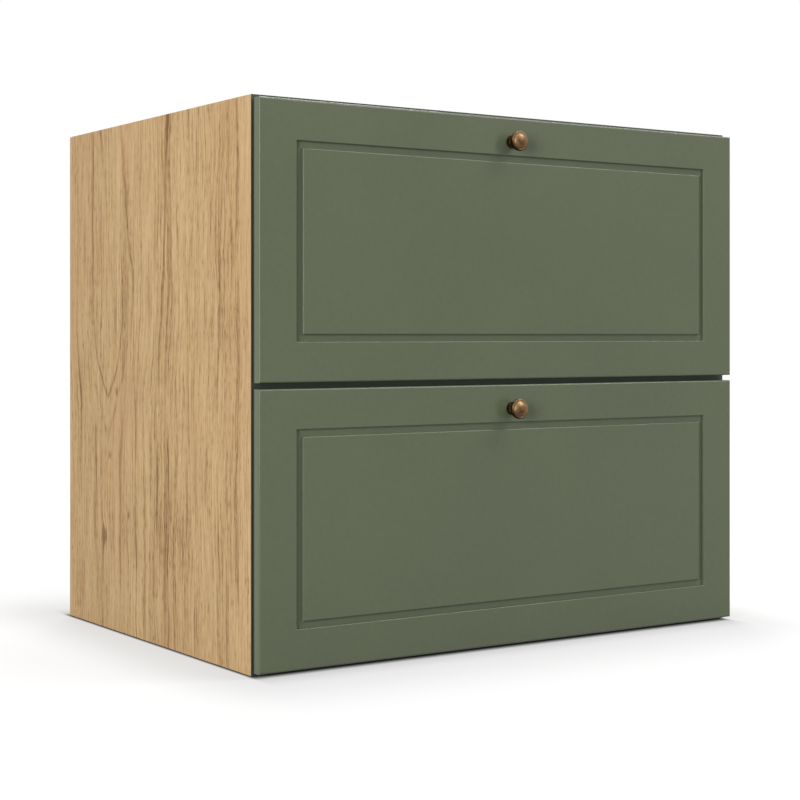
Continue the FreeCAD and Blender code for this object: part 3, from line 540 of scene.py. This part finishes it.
def aged_brass(node):
    """Dark brown patina, worn through on the crown of a knob, with painted light, lighter toward the upper
    right and darker toward the lower left, and a painted dark rim.
    """
    finish = Finish(node + "_brass")
    low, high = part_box(node)
    axis = (low + high) / 2
    sideways = finish.math("SUBTRACT", finish.x, axis.x)
    upright = finish.math("SUBTRACT", finish.z, axis.z)
    out = finish.length(sideways, upright)
    head = finish.grade(finish.y, low.y + HEAD_MARKS_FULL, low.y + HEAD_MARKS_GONE, 1.0, 0.0)
    crown = finish.grade(out, CROWN_MIDDLE, CROWN_RING, 0.34, 0.60)
    # Painted shade: the rim is darker, standing in for its dark reflections
    edge = finish.grade(out, RIM_SHADE_INNER, RIM_SHADE_OUTER, 0.0, -0.30)
    # Painted light and shade: lighter toward the upper right, darker toward the lower left
    toward_lit_side = finish.math("MULTIPLY_ADD", sideways, PAINTED_LIGHT_LEAN, upright)
    lit_side_paint = finish.grade(toward_lit_side, PAINTED_LIGHT_LOW, PAINTED_LIGHT_HIGH, -0.30, 0.14)
    smudge = finish.noise(finish.place, scale=240.0, detail=3.0, roughness=0.6)
    brush = finish.streaks(out, finish.y, fine=5200.0, long=300.0)
    wear_and_painted_light = finish.plus(finish.math("MULTIPLY", finish.plus(crown, edge, lit_side_paint), head),
                         finish.sway(smudge, 0.30), finish.sway(brush, 0.1))
    finish.set(
        Base_Color=finish.ramp(wear_and_painted_light, BRASS_STOPS),
        Metallic=1.0,
        Roughness=finish.grade(wear_and_painted_light, 0.0, 1.0, 0.52, 0.44),
        Normal=finish.bump(finish.plus(brush, smudge), 0.012 * MILLIMETRE),
    )
    return finish.material


def plated_steel(name, dark, light, rough):
    """Zinc-plated steel with rolling marks along the slide."""
    finish = Finish(name)
    marks = finish.streaks(finish.plus(finish.x, finish.z), finish.y, fine=2600.0, long=9.0)
    spangle = finish.noise(finish.place, scale=140.0, detail=3.0)
    tone = finish.plus(0.5, finish.sway(marks, 0.35), finish.sway(spangle, 0.35))
    finish.set(
        Base_Color=finish.ramp(tone, [(0.1, dark), (0.9, light)]),
        Metallic=1.0,
        Roughness=finish.grade(tone, 0.2, 0.8, rough + 0.08, rough - 0.06),
        Normal=finish.bump(marks, 0.01 * MILLIMETRE),
    )
    return finish.material


# Small pieces
def clear_rubber():
    """Soft, slightly cloudy pads."""
    finish = Finish("clear_rubber")
    cloud = finish.noise(finish.place, scale=500.0)
    finish.set(
        Base_Color=finish.ramp(cloud, [(0.3, srgb(206, 206, 198)), (0.7, srgb(226, 226, 220))]),
        Roughness=finish.grade(cloud, 0.3, 0.7, 0.30, 0.42),
        Normal=finish.bump(cloud, 0.04 * MILLIMETRE),
        Transmission_Weight=0.35,
        IOR=1.45,
    )
    return finish.material


def beech():
    """Raw beech with short flecks along the dowel."""
    finish = Finish("beech")
    fleck = finish.streaks(finish.plus(finish.y, finish.z), finish.x, fine=1500.0, long=160.0)
    finish.set(
        Base_Color=finish.ramp(fleck, [(0.3, srgb(186, 142, 98)), (0.7, srgb(214, 174, 130))]),
        Roughness=finish.grade(fleck, 0.3, 0.7, 0.6, 0.7),
        Normal=finish.bump(fleck, 0.05 * MILLIMETRE),
    )
    return finish.material


def dress(material, *names):
    """Give CAD nodes a material."""
    for name in names:
        mesh = NODES[name].data
        mesh.materials.clear()
        mesh.materials.append(material)


def dress_carcass():
    """Finish the boards, bands and fittings of the carcass."""
    dress(oak("oak_left", LEFT_CUT, across="y", along="z", face="x"), "side_panel_left")
    dress(oak("oak_right", RIGHT_CUT, across="y", along="z", face="x"), "side_panel_right")
    dress(oak("oak_bottom", BOTTOM_CUT, across="y", along="x", face="z"), "bottom_panel")
    rails = oak("oak_rails", RAIL_CUT, across="y", along="x", face="z")
    dress(rails, "top_rail_front", "top_rail_rear", "drawer_rail")
    dress(dark_band(), "carcass_edge_bands")
    dress(hardboard(), "back_panel")
    dress(beech(), "carcass_dowels")


def dress_drawers():
    """Finish the fronts, knobs, boxes and pads of both drawers."""
    paint = green_paint()
    sides = white_melamine("white_side", "x")
    ends = white_melamine("white_end", "y")
    flat = white_melamine("white_flat", "z")
    rubber = clear_rubber()
    for level in ("lower", "upper"):
        dress(paint, level + "_front")
        dress(aged_brass(level + "_knob"), level + "_knob")
        dress(sides, level + "_box_side_left", level + "_box_side_right")
        dress(ends, level + "_box_front", level + "_box_back")
        dress(flat, level + "_box_base", level + "_box_edge_bands")
        dress(rubber, level + "_bumpers")


def dress_metal():
    """Finish the slides, their cages and all fasteners."""
    slide = plated_steel("slide_zinc", srgb(150, 153, 158), srgb(205, 207, 210), rough=0.34)
    cage = plated_steel("cage_steel", srgb(120, 122, 126), srgb(176, 178, 180), rough=0.30)
    fastener = plated_steel("fastener_zinc", srgb(150, 149, 144), srgb(206, 204, 198), rough=0.30)
    cam = plated_steel("cast_zinc", srgb(128, 128, 128), srgb(166, 166, 165), rough=0.5)
    for name in NODES:
        if name.endswith(("slide_outer", "slide_middle", "slide_inner")):
            dress(slide, name)
        elif name.endswith("ball_cage"):
            dress(cage, name)
        elif name.endswith(("screws", "screw", "bolts", "nails")):
            dress(fastener, name)
    dress(cam, "cam_housings")


# Stage
def seen_by_eye(tree):
    """Return 1 for rays that the eye follows: straight, mirrored, or through clear pieces."""
    path = tree.nodes.new("ShaderNodeLightPath")
    seen = path.outputs["Is Camera Ray"]
    for kind in ("Is Glossy Ray", "Is Transmission Ray"):
        either = tree.nodes.new("ShaderNodeMath")
        either.operation = "MAXIMUM"
        tree.links.new(seen, either.inputs[0])
        tree.links.new(path.outputs[kind], either.inputs[1])
        seen = either.outputs[0]
    return seen


def make_world():
    """Light the room evenly, and show it white."""
    world = bpy.data.worlds.new("room")
    bpy.context.scene.world = world
    world.use_nodes = True
    tree = world.node_tree
    tree.nodes.clear()
    output = tree.nodes.new("ShaderNodeOutputWorld")
    blend = tree.nodes.new("ShaderNodeMixShader")
    tree.links.new(seen_by_eye(tree), blend.inputs[0])
    for number, strength in ((1, AMBIENT), (2, 1.0)):
        background = tree.nodes.new("ShaderNodeBackground")
        background.inputs["Color"].default_value = WHITE
        background.inputs["Strength"].default_value = strength
        tree.links.new(background.outputs[0], blend.inputs[number])
    tree.links.new(blend.outputs[0], output.inputs["Surface"])


def floor_paint():
    """White floor that takes the cabinet's shadow, with painted shadow round the cabinet's foot where its
    glow is held low, and ends in plain white some way off.
    """
    finish = Finish("floor")
    low, high = CAD_BOX
    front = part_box("lower_front")[0].y + FRONT_TUCK
    beyond = []
    for place, lowest, highest in ((finish.x, low[0], high[0]), (finish.y, front, high[1])):
        from_middle = finish.math("ABSOLUTE", finish.math("SUBTRACT", place, (lowest + highest) / 2))
        past = finish.math("SUBTRACT", from_middle, (highest - lowest) / 2)
        beyond.append(finish.math("MAXIMUM", past, 0.0))
    # Painted shadow: the glow is lowest at the cabinet's foot and rises with distance from it
    glow = 0.0
    for side_reach, front_reach, level in FLOOR_GLOWS:
        sideways = finish.math("DIVIDE", beyond[0], side_reach)
        onwards = finish.math("DIVIDE", beyond[1], front_reach)
        away = finish.length(sideways, onwards)
        glow = finish.plus(glow, finish.grade(away, 0.0, 1.0, 0.0, level))
    finish.set(
        Base_Color=(FLOOR_ALBEDO, FLOOR_ALBEDO, FLOOR_ALBEDO, 1.0),
        Roughness=1.0,
        Specular_IOR_Level=0.0,
        Emission_Color=WHITE,
        Emission_Strength=finish.math("MULTIPLY", glow, seen_by_eye(finish.tree)),
    )
    return finish.material


def make_floor():
    """Lay the floor that the cabinet stands on."""
    half = FLOOR_SIDE / 2
    corners = [(-half, -half, -FLOOR_DROP), (half, -half, -FLOOR_DROP),
               (half, half, -FLOOR_DROP), (-half, half, -FLOOR_DROP)]
    mesh = bpy.data.meshes.new("floor")
    mesh.from_pydata(corners, [], [(0, 1, 2, 3)])
    mesh.materials.append(floor_paint())
    floor = bpy.data.objects.new("floor", mesh)
    bpy.context.scene.collection.objects.link(floor)


def make_lamps():
    """Hang large soft lamps round the cabinet."""
    for name, place, target, width, height, watts in LAMPS:
        light = bpy.data.lights.new(name, "AREA")
        light.shape = "RECTANGLE"
        light.size = width
        light.size_y = height
        light.energy = watts
        lamp = bpy.data.objects.new(name, light)
        lamp.location = place
        lamp.rotation_euler = (Vector(target) - Vector(place)).to_track_quat("-Z", "Y").to_euler()
        bpy.context.scene.collection.objects.link(lamp)


def make_camera():
    """Stand the camera level, with its frame shifted down as the cabinet's image is."""
    data = bpy.data.cameras.new("camera")
    data.sensor_width = SENSOR
    data.lens = SENSOR * FOCAL_PIXELS / IMAGE_SIDE
    data.shift_y = (HORIZON_ROW - IMAGE_SIDE / 2) / IMAGE_SIDE
    camera = bpy.data.objects.new("camera", data)
    camera.location = CAMERA_PLACE
    camera.rotation_euler = (math.pi / 2, 0.0, -CAMERA_TURN)
    bpy.context.scene.collection.objects.link(camera)
    bpy.context.scene.camera = camera


bpy.context.scene.view_settings.view_transform = "Standard"
dress_carcass()
dress_drawers()
dress_metal()
make_world()
make_floor()
make_lamps()
make_camera()
